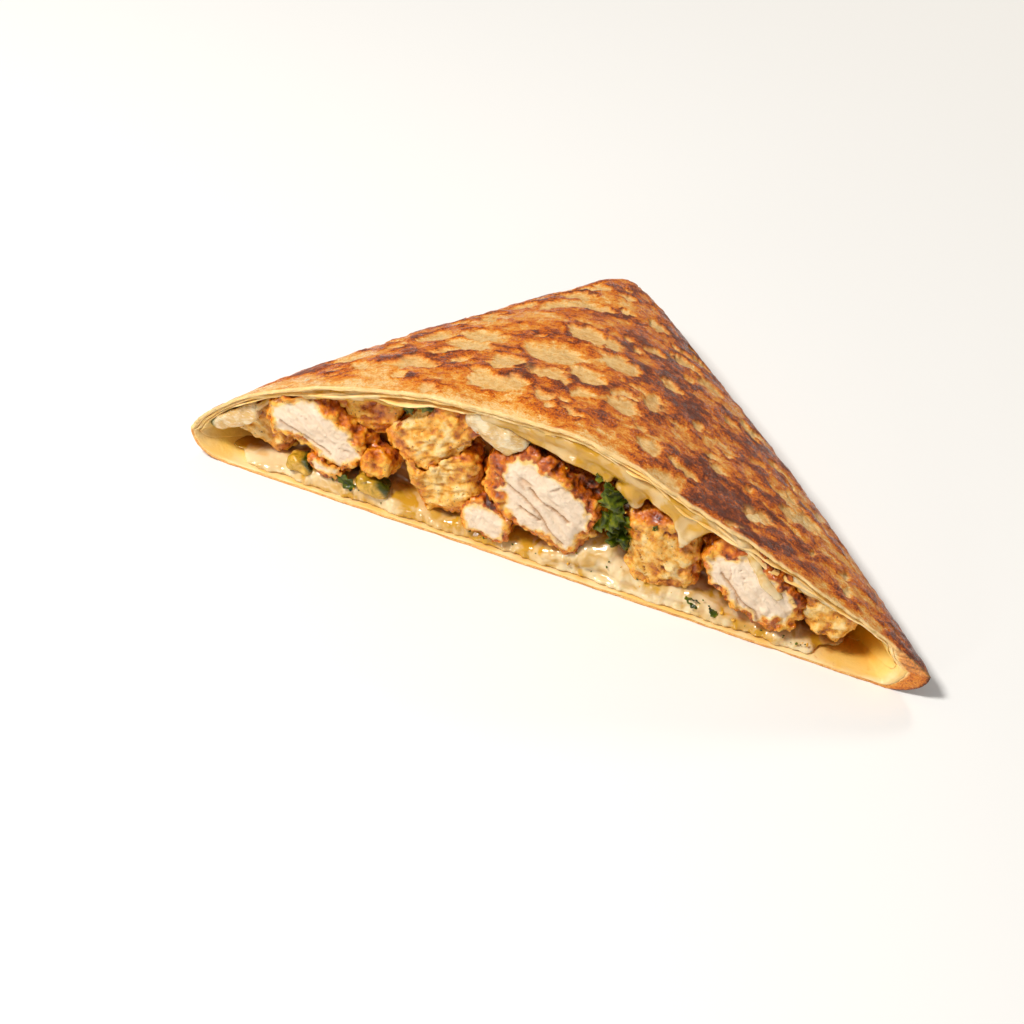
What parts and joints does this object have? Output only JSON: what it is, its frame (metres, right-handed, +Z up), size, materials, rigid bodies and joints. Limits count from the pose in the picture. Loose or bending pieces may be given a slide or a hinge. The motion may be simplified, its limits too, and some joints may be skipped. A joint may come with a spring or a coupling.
{
  "type": "chicken crepe",
  "caption": "Triangular folded crepe, cut across its long side to show chicken pieces and melted cheese inside.",
  "frame": {"origin": "centre of the crepe's box in plan, on the surface that it lies on", "axes": "+X along the cut from left to right, +Y from the cut back to the folded tip, +Z up"},
  "size_m": [0.1994, 0.1136, 0.0449],
  "materials": {
    "crepe": "thin cooked batter, pale gold with brown griddle marks, slightly oily",
    "cheese": "melted pale cheese, smooth and glossy",
    "chicken": "seasoned browned chicken with pale cut faces, moist",
    "onion": "soft cooked onion, cloudy white",
    "pepper": "cooked green and yellow pepper, wet",
    "herb": "cooked dark green parsley, wet"
  },
  "bodies": {
    "root": {"crepe_sheet": "crepe", "melted_cheese": "cheese", "chicken_centre": "chicken", "chicken_right": "chicken", "chicken_left": "chicken", "chicken_upper_left": "chicken", "chicken_torn": "chicken", "chicken_pale": "chicken", "chicken_back_left": "chicken", "chicken_left_end": "chicken", "chicken_right_end": "chicken", "chicken_corner": "chicken", "chicken_nugget_a": "chicken", "chicken_nugget_b": "chicken", "chicken_behind": "chicken", "onion_slice": "onion", "onion_strip": "onion", "pepper_left": "pepper", "pepper_middle": "pepper", "parsley_sprig": "herb"}
  },
  "joints": []
}
